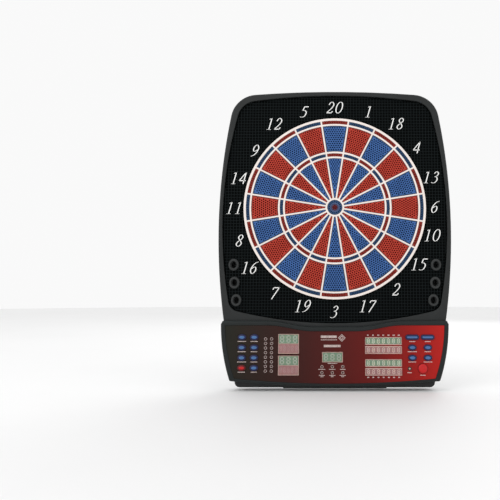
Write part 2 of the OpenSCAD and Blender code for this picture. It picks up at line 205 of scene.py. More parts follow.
def metal(name, colour, rough=0.3):
    """Plated steel with fine turning marks and dull patches."""
    n = Nodes(name, rough)
    n.shader.inputs["Metallic"].default_value = 1
    n.link(n.spread(n.noise(1.5 * MM, 4), rough - 0.08, rough + 0.2), n.shader.inputs["Roughness"])
    n.bump(n.noise(0.15 * MM, 2), 0.008 * MM)
    return n.finish(n.mix(n.spread(n.noise(3 * MM), 0, 1), scaled(colour, 0.75), colour))


def lens(name, colour, rough=0.12):
    """A tinted window or lamp: smooth, with a cloudy body colour."""
    n = Nodes(name, rough, 0.1, 0.25)
    n.shader.inputs["Subsurface Weight"].default_value = 0.15
    n.shader.inputs["Subsurface Scale"].default_value = 1.5 * MM
    n.bump(n.noise(4 * MM, 1), 0.02 * MM)
    return n.finish(n.mix(n.spread(n.noise(6 * MM), 0, 1), scaled(colour, 0.88), scaled(colour, 1.1)))


def fibreboard():
    n = Nodes("fibreboard", 0.8)
    fibres = n.noise(0.9 * MM, 6, 0.7)
    n.bump(fibres, 0.15 * MM)
    return n.finish(n.mix(n.spread(fibres, 0, 1), (0.17, 0.1, 0.05), (0.36, 0.24, 0.13)))


def circuit_board():
    """Green lacquer over copper tracks."""
    n = Nodes("circuit_board", 0.35, 0.3)
    wave = n.add("ShaderNodeTexVoronoi", feature="DISTANCE_TO_EDGE")
    wave.inputs["Scale"].default_value = 1 / (6 * MM)
    n.link(n.place, wave.inputs["Vector"])
    tracks = n.spread(wave.outputs["Distance"], 1, 0, 0.03, 0.08)
    n.bump(tracks, 0.04 * MM)
    return n.finish(n.mix(tracks, (0.008, 0.07, 0.025), (0.03, 0.16, 0.05)))


CASE = plastic("case_plastic", (0.0155, 0.0175, 0.0175), 0.44, wear=2.2, shine=0.27)
CASE_BACK = plastic("case_back_plastic", (0.018, 0.019, 0.02), 0.55, grain=0.6 * MM, depth=0.05 * MM)
CONSOLE = plastic("console_plastic", (0.0095, 0.0125, 0.0125), 0.4, wear=2.4, shine=0.25)
PANEL = plastic("number_panel_plastic", (0.0008, 0.0013, 0.0013), 0.6, wear=1.2, shine=0.03)
PANEL_RIB = plastic("number_panel_ribs", (0.0035, 0.0055, 0.006), 0.5, wear=1.4, shine=0.1)
NUMERAL = plastic("numeral_white", (0.86, 0.86, 0.84), 0.5, depth=0.01 * MM, mottle=0.03, wear=1.05)
WEB = plastic("web_plastic", (0.84, 0.76, 0.71), 0.36, depth=0.01 * MM, mottle=0.04, wear=1.08)
BLUE = plastic("key_blue", (0.043, 0.112, 0.31), 0.5, mottle=0.16, wear=1.35, shine=0.15)
RED = plastic("key_red", (0.41, 0.04, 0.024), 0.5, mottle=0.14, wear=1.3, shine=0.15)
# Near-black hole floors: painted shade in the funnels
BLUE_HOLE_SHADE = plastic("key_blue_hole_painted_shade", (0.003, 0.01, 0.03), 0.7, mottle=0.1, wear=1.1, shine=0.05)
RED_HOLE_SHADE = plastic("key_red_hole_painted_shade", (0.06, 0.004, 0.0035), 0.7, mottle=0.1, wear=1.1, shine=0.05)
# The narrow rings' own darker tone, also used as painted shade on key walls, slopes and funnel walls
BLUE_RING_AND_SHADE = plastic("key_blue_ring_and_painted_shade", (0.016, 0.043, 0.1), 0.5, mottle=0.14, wear=1.35, shine=0.15)
RED_RING_AND_SHADE = plastic("key_red_ring_and_painted_shade", (0.185, 0.017, 0.011), 0.5, mottle=0.14, wear=1.3, shine=0.15)
BULL_RED = plastic("bull_red", (0.11, 0.012, 0.016), 0.5, mottle=0.14, wear=1.3, shine=0.15)
BULL_BLUE = plastic("bull_blue", (0.034, 0.072, 0.16), 0.5, mottle=0.14, wear=1.3, shine=0.15)
BULL_LIP = plastic("bull_lip", (0.1, 0.1, 0.19), 0.45, mottle=0.1, wear=1.2)
RUBBER = plastic("socket_rubber", (0.026, 0.028, 0.028), 0.6, grain=0.5 * MM, depth=0.04 * MM, wear=1.4)
MAT = plastic("mat_rubber", (0.014, 0.014, 0.014), 0.75, depth=0.05 * MM)
SILICONE = plastic("keypad_silicone", (0.5, 0.5, 0.47), 0.6)
FILM = plastic("sensor_film", (0.45, 0.42, 0.28), 0.25, coat=0.4)
RIBBON = plastic("ribbon", (0.3, 0.3, 0.32), 0.4)
JACK = plastic("socket_plastic", (0.01, 0.01, 0.01), 0.35)
# Button caps: the dark rim tones are partly the caps' own colour and partly painted shade on their sloping
# sides; the pale crowns are partly painted highlight
BUTTON_BLUE = plastic("button_blue", (0.06, 0.145, 0.33), 0.3, mottle=0.08, wear=1.15, coat=0.1)
BUTTON_RIM_AND_SHADE = plastic("button_rim_and_painted_shade", (0.016, 0.017, 0.065), 0.34, mottle=0.08, wear=1.3, coat=0.05)
BUTTON_RED = plastic("button_red", (0.51, 0.009, 0.011), 0.34, mottle=0.08, wear=1.12, shine=0.3)
RED_RIM_AND_SHADE = plastic("button_red_rim_and_painted_shade", (0.12, 0.008, 0.01), 0.4, mottle=0.08, wear=1.4)
MARKS = plastic("overlay_marks", (0.6, 0.5, 0.47), 0.5, depth=0.004 * MM, mottle=0.1, wear=1.05)
SPEAKER = plastic("speaker_metal", (0.045, 0.045, 0.05), 0.5)
OVERLAY = overlay_print()
STEEL = metal("screw_steel", (0.56, 0.56, 0.57))
GLASS = lens("display_face", (0.56, 0.37, 0.32), 0.3)
GLASS_GREEN = lens("display_green", (0.167, 0.245, 0.166), 0.3)
GLASS_PINK = lens("display_pink", (0.33, 0.16, 0.155), 0.3)
DIGIT_GREEN = lens("digit_green", (0.36, 0.38, 0.31), 0.3)
DIGIT_PINK = lens("digit_pink", (0.37, 0.2, 0.2), 0.3)
DIGIT_PALE = lens("digit_pale", (0.56, 0.54, 0.42), 0.3)
DIGIT_ROSE = lens("digit_rose", (0.62, 0.42, 0.37), 0.3)
LAMP = lens("lamp_lens", (0.1, 0.05, 0.045), 0.2)
# The ready lamp's pale lens: painted highlight
LAMP_HIGHLIGHT = lens("lamp_painted_highlight", (0.6, 0.5, 0.4), 0.2)
BOARD = circuit_board()
FIBRE = fibreboard()


# ---- Flat shapes: lists of (x, z) ----

def turned(points, angle, centre=(0, 0)):
    c, s = math.cos(angle), math.sin(angle)
    return [(centre[0] + c * x - s * z, centre[1] + s * x + c * z) for x, z in points]


def area(loop):
    return sum(a[0] * b[1] - b[0] * a[1] for a, b in zip(loop, loop[1:] + loop[:1])) / 2


def inset(loop, by):
    """A counterclockwise loop moved inwards by a distance."""
    moved = []
    for i, here in enumerate(loop):
        before, after = Vector(loop[i - 1]), Vector(loop[(i + 1) % len(loop)])
        one, two = (Vector(here) - before).normalized(), (after - Vector(here)).normalized()
        normal = Vector((-one.y - two.y, one.x + two.x))
        if normal.length < 1e-6:
            normal = Vector((-one.y, one.x))
        normal.normalize()
        cosine = max(0.35, normal.dot(Vector((-one.y, one.x))))
        moved.append((here[0] + normal.x * by / cosine, here[1] + normal.y * by / cosine))
    return moved


def oval(centre, half_w, half_h, steps=32):
    turns = [2 * math.pi * i / steps for i in range(steps)]
    return [(centre[0] + half_w * math.cos(t), centre[1] + half_h * math.sin(t)) for t in turns]


def stadium(centre, half_w, half_h, steps=16):
    """A round-ended bar's outline."""
    reach = half_w - half_h
    turns = [math.pi * i / steps - math.pi / 2 for i in range(steps + 1)]
    right = [(centre[0] + reach + half_h * math.cos(t), centre[1] + half_h * math.sin(t)) for t in turns]
    left = [(centre[0] - reach - half_h * math.cos(t), centre[1] - half_h * math.sin(t)) for t in turns]
    return right + left


def rectangle(x0, z0, x1, z1):
    return [(x0, z0), (x1, z0), (x1, z1), (x0, z1)]


def clearance(point, loop):
    """Signed distance from a loop's edge to a point: positive inside."""
    p, a = np.array(point), np.array(loop)
    b = np.roll(a, -1, 0)
    along = b - a
    t = np.clip(((p - a) * along).sum(1) / (along ** 2).sum(1), 0, 1)
    distance = np.sqrt(((a + t[:, None] * along - p) ** 2).sum(1).min())
    crosses = (a[:, 1] > p[1]) != (b[:, 1] > p[1])
    with np.errstate(divide="ignore", invalid="ignore"):
        at = a[:, 0] + (p[1] - a[:, 1]) / along[:, 1] * along[:, 0]
    return distance if (crosses & (p[0] < at)).sum() % 2 else -distance


# ---- Mesh building ----

# The triangulation's output kind that keeps all triangles inside the outermost ring
INSIDE = 1
# How near a vertex has to be to a depth to lie on it
NEAR = 0.02 * MM


class Mesh:
    """A mesh in the making. Faces take the current material number."""

    def __init__(self):
        self.bm = bmesh.new()
        self.number = 0

    def ring(self, loop, depth):
        return [self.bm.verts.new((x, -depth, z)) for x, z in loop]

    def face(self, verts):
        made = self.bm.faces.new(verts)
        made.material_index = self.number
        return made

    def skirt(self, outer, inner):
        """Joins two rings of as many points."""
        for i in range(len(outer)):
            j = (i + 1) % len(outer)
            self.face([outer[i], outer[j], inner[j], inner[i]])

    def loft(self, rings, cap_start=False, cap_end=False):
        for a, b in zip(rings, rings[1:]):
            self.skirt(a, b)
        if cap_start:
            self.face(rings[0][::-1])
        if cap_end:
            self.face(rings[-1])
        return rings

    def fill(self, rings):
        """A flat face inside the first ring, with the others as its holes. Rings may not cross."""
        verts, owner, edges = [], [], []
        for number, ring in enumerate(rings):
            start, count = len(verts), len(ring)
            edges += [(start + i, start + (i + 1) % count) for i in range(count)]
            owner += [number] * count
            verts += ring
        flat = [Vector((vert.co.x, vert.co.z)) for vert in verts]
        loops = [[(vert.co.x, vert.co.z) for vert in ring] for ring in rings]
        _, _, triangles, sources, _, _ = delaunay_2d_cdt(flat, edges, [], INSIDE, 1e-8)
        for triangle in triangles:
            corners = [sources[corner][0] for corner in triangle]
            owners = {owner[corner] for corner in corners}
            if len(owners) == 1:
                number = owners.pop()
                middle = sum((flat[corner] for corner in corners), Vector((0, 0))) / 3
                if (clearance(middle, loops[number]) > 0) != (number == 0):
                    continue
            self.face([verts[corner] for corner in corners])

    def prism(self, loop, back, front, bevel=0.0):
        """A closed block between two depths, with a chamfer at the second."""
        rings = [self.ring(loop, back), self.ring(loop, front - math.copysign(bevel, front - back))]
        if bevel:
            rings.append(self.ring(inset(loop, bevel), front))
        return self.loft(rings, True, True)

    def piece(self, name, materials, smooth=35):
        """The finished object; edges sharper than smooth degrees stay crisp."""
        bmesh.ops.recalc_face_normals(self.bm, faces=self.bm.faces)
        data = bpy.data.meshes.new(name)
        self.bm.to_mesh(data)
        self.bm.free()
        for material in materials:
            data.materials.append(material)
        data.shade_smooth()
        data.set_sharp_from_angle(angle=math.radians(smooth))
        made = bpy.data.objects.new(name, data)
        bpy.context.scene.collection.objects.link(made)
        return made


def weigh_normals(piece):
    """Keeps flat faces flat beside their rounded edges."""
    modifier = piece.modifiers.new("weigh_normals", "WEIGHTED_NORMAL")
    modifier.weight = 90
    modifier.keep_sharp = True
    return piece


def stand_for(piece, *nodes):
    """The piece takes the nodes' place and body; the nodes are hidden."""
    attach(piece, BODY_OF[nodes[0]])
    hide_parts(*nodes)
    return piece


def trim(piece):
    """A piece with no CAD node of its own, on the fixed body."""
    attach(piece, "board")
    return piece


def welded(node):
    """A CAD node's mesh as a bmesh, with its flat faces whole."""
    bm = bmesh.new()
    bm.from_mesh(frame["nodes"][node].data)
    bmesh.ops.remove_doubles(bm, verts=bm.verts, dist=2e-6)
    bmesh.ops.dissolve_limit(bm, angle_limit=0.01, verts=bm.verts, edges=bm.edges)
    return bm


def rounded_mesh(node, rounds):
    """A CAD node's mesh with edges rounded; rounds are (depth, width, segments, which edges)."""
    mesh = Mesh()
    mesh.bm.free()
    mesh.bm = welded(node)
    for face in mesh.bm.faces:
        face.material_index = 0
    for depth, width, segments, which in rounds:
        flat = [e for e in mesh.bm.edges
                if len(e.link_faces) == 2 and all(abs(v.co.y + depth) < NEAR for v in e.verts)
                and e.calc_face_angle() > math.radians(40) and (which is None or which(e.verts[0].co))]
        bmesh.ops.bevel(mesh.bm, geom=flat, offset=width, offset_type="OFFSET", segments=segments,
                        profile=0.5, affect="EDGES", clamp_overlap=False)
    bmesh.ops.triangulate(mesh.bm, faces=[f for f in mesh.bm.faces if len(f.verts) > 4])
    return mesh


def rounded_copy(node, material, rounds):
    """A CAD node shown with its edges rounded."""
    mesh = rounded_mesh(node, rounds)
    return weigh_normals(stand_for(mesh.piece(node + "_shell", [material], 50), node))


def open_plane(mesh, depth):
    """Takes away a mesh's flat faces at a depth; returns the rings round the gap, the largest first."""
    faces = [f for f in mesh.bm.faces if all(abs(v.co.y + depth) < NEAR for v in f.verts)]
    flat = set(faces)
    border = [e for f in faces for e in f.edges if any(other not in flat for other in e.link_faces)]
    beside = {}
    for edge in border:
        for vert in edge.verts:
            beside.setdefault(vert, []).append(edge.other_vert(vert))
    bmesh.ops.delete(mesh.bm, geom=faces, context="FACES")
    rings = []
    while beside:
        vert = next(iter(beside))
        ring = []
        while vert in beside:
            ring.append(vert)
            ahead = [v for v in beside.pop(vert) if v in beside]
            vert = ahead[0] if ahead else None
        flat_area = area([(v.co.x, v.co.z) for v in ring])
        rings.append((abs(flat_area), ring if flat_area > 0 else ring[::-1]))
    return [ring for _, ring in sorted(rings, key=lambda item: -item[0])]


def flat_loops(node, depth):
    """Outlines of a CAD node's flat face at a depth, counterclockwise, the largest first."""
    bm = welded(node)
    near = {v for v in bm.verts if abs(v.co.y + depth) < NEAR}
    after = {}
    for face in bm.faces:
        if all(v in near for v in face.verts):
            for loop in face.loops:
                if not all(v in near for f in loop.edge.link_faces for v in f.verts):
                    after[loop.vert] = loop.link_loop_next.vert
    loops = []
    while after:
        start, verts = next(iter(after)), []
        while start in after:
            verts.append(start)
            start = after.pop(start)
        loops.append([(v.co.x, v.co.z) for v in verts])
    bm.free()
    loops = [loop if area(loop) > 0 else loop[::-1] for loop in loops]
    return sorted(loops, key=area, reverse=True)


def centre_of(node):
    low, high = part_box(node)
    return (low.x + high.x) / 2, (low.z + high.z) / 2


def front_of(node):
    return -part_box(node)[0].y


# ---- Keys: funnel holes that catch the darts' soft tips ----

HOLE_PITCH = 4.4 * MM
ROW_PITCH = HOLE_PITCH * 0.866
HOLE_R = 1.62 * MM
SMALLEST_HOLE_R = 0.6 * MM
HOLE_STEPS = 8
# How deep a hole's slope and its floor lie
THROAT, FLOOR = 1.1 * MM, 2 * MM
# A key shallower than this has one curved row of holes
THIN_KEY = 8 * MM
# Sloped borders of a number's four keys, from the inner single out; they are coloured darker as painted
# shade beside the web
SHOULDERS = (1.0 * MM, 1.6 * MM, 2.0 * MM, 1.6 * MM)


def key_holes(loop, index, shoulder):
    """Holes in one key as (centre, radius), in rows across its own middle line, smaller at its edges."""
    angle = -SECTOR * index
    reach = [math.hypot(*p) for p in loop]
    low, high = min(reach), max(reach)
    if high - low < THIN_KEY:
        radius = (low + high) / 2
        step = HOLE_PITCH / radius
        spots = [(radius * math.sin(step * i), radius * math.cos(step * i)) for i in range(-9, 10)]
    else:
        rows = int((high - low) / ROW_PITCH) + 2
        spots = [((column + row % 2 / 2) * HOLE_PITCH, low + row * ROW_PITCH)
                 for row in range(rows) for column in range(-9, 10)]
    room = shoulder + 0.15 * MM
    holes = [(spot, min(HOLE_R, clearance(spot, loop) - room)) for spot in turned(spots, angle)]
    return [(spot, radius) for spot, radius in holes if radius > SMALLEST_HOLE_R]


def holed_block(mesh, loop, holes, back, front, colour, inner=None, shoulder=1.3 * MM):
    """A key: walls, a sloped shoulder and a face of funnel holes; inner is its own round hole.

    Three materials run from colour on: the face; the walls, slopes and funnel walls, darker as painted
    shade; and the holes' floors, darker still as painted shade.
    """
    edge = 0.35 * MM
    # walls and shoulder in the darker tone: painted shade along the key's border
    mesh.number = colour + 1
    rim = [mesh.ring(loop, back), mesh.ring(loop, front - 0.8 * MM),
           mesh.ring(inset(loop, shoulder), front)]
    mesh.loft(rim, inner is None)
    mesh.number = colour
    tops = [rim[-1]]
    if inner is not None:
        bore = [mesh.ring(inner, back), mesh.ring(inner, front - edge),
                mesh.ring(inset(inner, -edge), front)]
        mesh.loft(bore)
        tops.append(bore[-1])
    funnels = [mesh.ring(oval(spot, radius, radius, HOLE_STEPS), front) for spot, radius in holes]
    mesh.fill(tops + funnels)
    for (spot, radius), mouth in zip(holes, funnels):
        throat = mesh.ring(oval(spot, 0.6 * radius, 0.6 * radius, HOLE_STEPS), front - THROAT)
        # funnel wall in the darker tone: painted shade inside the hole
        mesh.number = colour + 1
        mesh.skirt(mouth, throat)
        # throat and floor nearly black: painted shade at the bottom of the hole
        mesh.number = colour + 2
        floor = mesh.ring(oval(spot, 0.5 * radius, 0.5 * radius, HOLE_STEPS), front - FLOOR)
        mesh.loft([throat, floor], False, True)
    mesh.number = colour


def make_keys():
    """Each number's four keys. Blue and red take turns, and the two narrow rings are darker."""
    back_of_keys = -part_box("keys_20")[1].y
    for index, number in enumerate(NUMBERS):
        node = f"keys_{number}"
        front = front_of(node)
        mesh = Mesh()
        bands = sorted(flat_loops(node, front), key=lambda lp: max(math.hypot(*p) for p in lp))
        for band, loop in enumerate(bands):
            colour = (0 if (band + index) % 2 == 0 else 6) + band % 2 * 3
            slope = SHOULDERS[band]
            holes = key_holes(loop, index, slope)
            holed_block(mesh, loop, holes, back_of_keys, front, colour, shoulder=slope)
        # per colour: face; darker tone for walls and slopes as painted shade, which is also the narrow
        # rings' own face colour; painted shade for hole floors
        materials = [BLUE, BLUE_RING_AND_SHADE, BLUE_HOLE_SHADE, BLUE_RING_AND_SHADE, BLUE_RING_AND_SHADE, BLUE_HOLE_SHADE,
                     RED, RED_RING_AND_SHADE, RED_HOLE_SHADE, RED_RING_AND_SHADE, RED_RING_AND_SHADE, RED_HOLE_SHADE]
        stand_for(mesh.piece(node + "_face", materials), node)


def hole_circle(reach, count, radius):
    """Holes in a ring round the bull, as (centre, radius)."""
    turns = [2 * math.pi * i / count for i in range(count)]
    return [((reach * math.sin(t), reach * math.cos(t)), radius) for t in turns]


def make_bull_keys():
    """The outer bull with a ring of holes, and the inner one in its bore."""
    front = front_of("bull_outer")
    back = -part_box("bull_outer")[1].y
    outer, bore = flat_loops("bull_outer", front)
    mesh = Mesh()
    holes = hole_circle(10.6 * MM, 18, 1.3 * MM)
    holed_block(mesh, outer, holes, back, front, 0, bore)
    # a raised lip round the bore
    mesh.number = 3
    levels = [(0.1, -0.4), (0.1, 0.15), (0.3, 0.3), (0.8, 0.3), (1.1, 0.0), (1.1, -0.4)]
    mesh.loft([mesh.ring(inset(bore, -by * MM), front + up * MM) for by, up in levels])
    stand_for(mesh.piece("bull_outer_face", [BULL_BLUE, BLUE_RING_AND_SHADE, BLUE_HOLE_SHADE, BULL_LIP]), "bull_outer")
    disc = flat_loops("bull_inner", front)[0]
    mesh = Mesh()
    crown = inset(disc, 1.4 * MM)
    mesh.number = 3
    mesh.loft([mesh.ring(disc, back), mesh.ring(disc, front - 1.4 * MM),
               mesh.ring(crown, front - 0.5 * MM)], True)
    holes = hole_circle(0, 1, 1.0 * MM) + hole_circle(2.9 * MM, 7, 0.95 * MM)
    holed_block(mesh, crown, holes, front - 0.5 * MM, front, 0, shoulder=0.35 * MM)
    # the inner bull's slopes and funnel walls take the hole floors' painted shade as well
    stand_for(mesh.piece("bull_inner_face", [BULL_RED, RED_HOLE_SHADE, RED_HOLE_SHADE, BULL_LIP]), "bull_inner")


# ---- Number panel: a square lattice of ribs over a sunk field ----

def spans(loops, at, across):
    """Where the line x = at (across 0) or z = at (across 1) runs inside the loops, by even and odd."""
    hits = []
    for loop in loops:
        for a, b in zip(loop, loop[1:] + loop[:1]):
            if (a[across] > at) != (b[across] > at):
                t = (at - a[across]) / (b[across] - a[across])
                hits.append(a[1 - across] + t * (b[1 - across] - a[1 - across]))
    hits.sort()
    return list(zip(hits[::2], hits[1::2]))


def rib_outline(at, half, start, end, across):
    """A straight rib's outline along the line x = at (across 0) or z = at (across 1)."""
    if across == 0:
        return rectangle(at - half, start, at + half, end)
    return rectangle(start, at - half, end, at + half)


def make_number_panel():
    """The panel's rims, its sunk field and the ribs that cross it both ways."""
    node = "number_panel"
    front = front_of(node)
    sunk, pitch, half_rib = 0.7 * MM, 5.5 * MM, 0.55 * MM
    outer, circle, *sockets = flat_loops(node, front)
    mesh = Mesh()
    mesh.loft([mesh.ring(outer, front - 2.6 * MM), mesh.ring(outer, front)])
    rim = mesh.ring(outer, front)
    rim_in = mesh.ring(inset(outer, 1.2 * MM), front)
    mesh.skirt(rim, rim_in)
    field = [mesh.ring(inset(outer, 1.4 * MM), front - sunk)]
    mesh.skirt(rim_in, field[0])
    for loop, width in [(circle, 1.6 * MM)] + [(socket, 0.8 * MM) for socket in sockets]:
        wall = mesh.ring(loop, front - 2.6 * MM)
        lip = mesh.ring(loop, front)
        lip_out = mesh.ring(inset(loop, -width), front)
        foot = mesh.ring(inset(loop, -width - 0.2 * MM), front - sunk)
        mesh.loft([wall, lip, lip_out, foot])
        field.append(foot)
    mesh.fill(field)
    mesh.number = 1
    edges = [inset(outer, 1.3 * MM), inset(circle, -1.7 * MM)] + [inset(s, -0.9 * MM) for s in sockets]
    for across, lower in ((0, 0.0), (1, 0.03 * MM)):
        reach = max(abs(p[across]) for p in outer)
        count = int(reach / pitch) + 1
        for i in range(-count, count):
            at = (i + 0.5) * pitch
            for start, end in spans(edges, at, across):
                outline = rib_outline(at, half_rib, start, end, across)
                mesh.prism(outline, front - sunk, front - lower, 0.2 * MM)
    stand_for(mesh.piece("number_panel_lattice", [PANEL, PANEL_RIB], 30), node)


# ---- Numerals: a slanted serif hand, as a flat nib draws it ----

# Half the nib's width across upright and level strokes, and across a level bar, in cap heights
NIB, BAR_NIB = (0.043, 0.013), (0.016, 0.036)
# Each stroke is a curve, a line or a bar through points in cap heights
DIGITS = {
    "0": [("curve", [(0.30, 0.985), (0.12, 0.84), (0.05, 0.5), (0.12, 0.16), (0.30, 0.015), (0.48, 0.16),
                     (0.55, 0.5), (0.48, 0.84), (0.30, 0.985)])],
    "1": [("line", [(0.32, 0.99), (0.32, 0.015)]), ("line", [(0.34, 0.985), (0.15, 0.89)]),
          ("line", [(0.14, 0.014), (0.5, 0.014)])],
    "2": [("curve", [(0.09, 0.74), (0.17, 0.93), (0.32, 0.985), (0.49, 0.76), (0.38, 0.45), (0.06, 0.05)]),
          ("bar", [(0.05, 0.045), (0.47, 0.045)]), ("line", [(0.46, 0.05), (0.53, 0.19)])],
    "3": [("curve", [(0.12, 0.82), (0.29, 0.985), (0.47, 0.82), (0.38, 0.62), (0.2, 0.535)]),
          ("curve", [(0.2, 0.535), (0.4, 0.49), (0.48, 0.29), (0.36, 0.07), (0.19, 0.015), (0.05, 0.07)])],
    "4": [("line", [(0.43, 0.985), (0.04, 0.3)]), ("bar", [(0.03, 0.285), (0.57, 0.285)]),
          ("line", [(0.43, 0.99), (0.43, 0.0)])],
    "5": [("bar", [(0.2, 0.93), (0.54, 0.93)]), ("line", [(0.2, 0.95), (0.13, 0.61)]),
          ("curve", [(0.12, 0.6), (0.3, 0.605), (0.47, 0.42), (0.41, 0.13), (0.22, 0.015), (0.04, 0.06)])],
    "6": [("curve", [(0.55, 0.985), (0.31, 0.87), (0.13, 0.58), (0.09, 0.25), (0.26, 0.015), (0.46, 0.17),
                     (0.48, 0.43), (0.35, 0.57), (0.13, 0.42)])],
    "7": [("bar", [(0.11, 0.93), (0.57, 0.93)]), ("line", [(0.55, 0.95), (0.17, 0.0)]),
          ("line", [(0.12, 0.94), (0.06, 0.77)])],
    "8": [("curve", [(0.3, 0.985), (0.13, 0.84), (0.18, 0.66), (0.39, 0.44), (0.48, 0.22), (0.3, 0.015),
                     (0.09, 0.18), (0.16, 0.4), (0.37, 0.59), (0.47, 0.8), (0.3, 0.985)])],
}
DIGITS["9"] = [(kind, [(0.58 - x, 1 - y) for x, y in points]) for kind, points in DIGITS["6"]]
# The middle of each number, in millimetres
NUMERAL_AT = {20: (0.5, 193), 1: (65, 185), 18: (117.5, 161.5), 4: (156.5, 115), 13: (182.5, 57.5),
              6: (188.5, 1), 10: (182.5, -52.5), 15: (157, -106.5), 2: (114.5, -153), 17: (60.5, -183.5),
              3: (0, -194), 19: (-59, -183.5), 7: (-111, -159.5), 16: (-158.5, -113), 8: (-177.5, -62.5),
              11: (-189, -1), 14: (-181.5, 56), 9: (-150.5, 109), 12: (-115.5, 161), 5: (-58, 185)}


def smooth_line(points, steps=7):
    """A Catmull-Rom line through the points."""
    closed = points[0] == points[-1]
    before = [points[-2]] if closed else [points[0]]
    after = [points[1]] if closed else [points[-1]]
    p = [Vector(q) for q in before + list(points) + after]
    line = []
    for i in range(1, len(p) - 2):
        for k in range(steps):
            t = k / steps
            a, b, c, d = p[i - 1:i + 3]
            line.append(0.5 * (2 * b + (c - a) * t + (2 * a - 5 * b + 4 * c - d) * t * t
                               + (3 * b - a - 3 * c + d) * t ** 3))
    return line + [p[-2]]


def stroke(mesh, line, nib, place, back, front):
    """One pen stroke as a raised ribbon; place turns a point in cap heights into (x, z)."""
    left, right = [], []
    for i, point in enumerate(line):
        way = (line[min(i + 1, len(line) - 1)] - line[max(i - 1, 0)]).normalized()
        normal = Vector((-way.y, way.x))
        half = math.hypot(nib[0] * normal.x, nib[1] * normal.y)
        left.append(place(point + normal * half))
        right.append(place(point - normal * half))
    for i in range(len(line) - 1):
        quad = [right[i], right[i + 1], left[i + 1], left[i]]
        top, foot = mesh.ring(quad, front), mesh.ring(quad, back)
        mesh.face(top)
        mesh.face([top[0], top[1], foot[1], foot[0]])
        mesh.face([top[2], top[3], foot[3], foot[2]])


def make_numerals():
    """The twenty numbers, each digit a few raised strokes."""
    height, advance, slant = 22.5 * MM, 0.72, math.tan(math.radians(15.5))
    front = front_of("number_panel") + 0.12 * MM
    mesh = Mesh()
    for number, middle in NUMERAL_AT.items():
        text = str(number)
        for k, digit in enumerate(text):
            shift = (k - (len(text) - 1) / 2) * advance

            def place(p, shift=shift, middle=middle):
                x = p.x - 0.3 + shift + slant * (p.y - 0.5)
                return middle[0] * MM + x * height, middle[1] * MM + (p.y - 0.5) * height

            for kind, points in DIGITS[digit]:
                line = smooth_line(points) if kind == "curve" else [Vector(p) for p in points]
                stroke(mesh, line, BAR_NIB if kind == "bar" else NIB, place, front - 0.9 * MM, front)
    bmesh.ops.remove_doubles(mesh.bm, verts=mesh.bm.verts, dist=1e-7)
    trim(mesh.piece("numerals", [NUMERAL]))


# ---- Dart sockets: soft rubber rings with a deep hole set high ----

def make_dart_sockets():
    node = "dart_sockets"
    front = front_of(node)
    rims = flat_loops(node, front)
    panel = front_of("number_panel")
    outlines = [loop for loop in rims if area(loop) > 200 * MM * MM]
    holes = [loop for loop in rims if area(loop) < 200 * MM * MM]
    mesh = Mesh()
    for loop in outlines:
        x, z = np.array(loop).mean(0)
        hole = min(holes, key=lambda h: math.dist(np.array(h).mean(0), (x, z)))
        half = (max(p[0] for p in loop) - x, max(p[1] for p in loop) - z)
        bore = (max(p[0] for p in hole) - np.mean([p[0] for p in hole]),
                max(p[1] for p in hole) - np.mean([p[1] for p in hole]))
        # a fat rounded ring, then the bore with its own soft mouth
        profile = [(1.0, 0.0), (1.0, 0.35), (0.97, 0.72), (0.9, 0.93), (0.78, 1.0), (0.62, 0.96)]
        rings = [mesh.ring(oval((x, z), half[0] * s, half[1] * s), panel + h * (front - panel))
                 for s, h in profile]
        mouth = [(1.5, 0.7), (1.22, 0.35), (1.06, -0.3), (1.0, -1.2), (1.0, -4.2)]
        rings += [mesh.ring(oval((x, z), bore[0] * s, bore[1] * s), panel + h * (front - panel))
                  for s, h in mouth]
        mesh.loft(rings, False, True)
    stand_for(mesh.piece("dart_sockets_rubber", [RUBBER], 60), node)


# ---- Console: buttons, displays, lamps and the print between them ----

def dome(mesh, outline, levels):
    """A cap of nested outlines: (inset, depth, material number) from the back to its crown."""
    rings = [mesh.ring(inset(outline, by) if by else outline, depth) for by, depth, _ in levels]
    for (a, b), (_, _, number) in zip(zip(rings, rings[1:]), levels):
        mesh.number = number
        mesh.skirt(a, b)
    mesh.number = levels[-1][2]
    mesh.face(rings[-1])


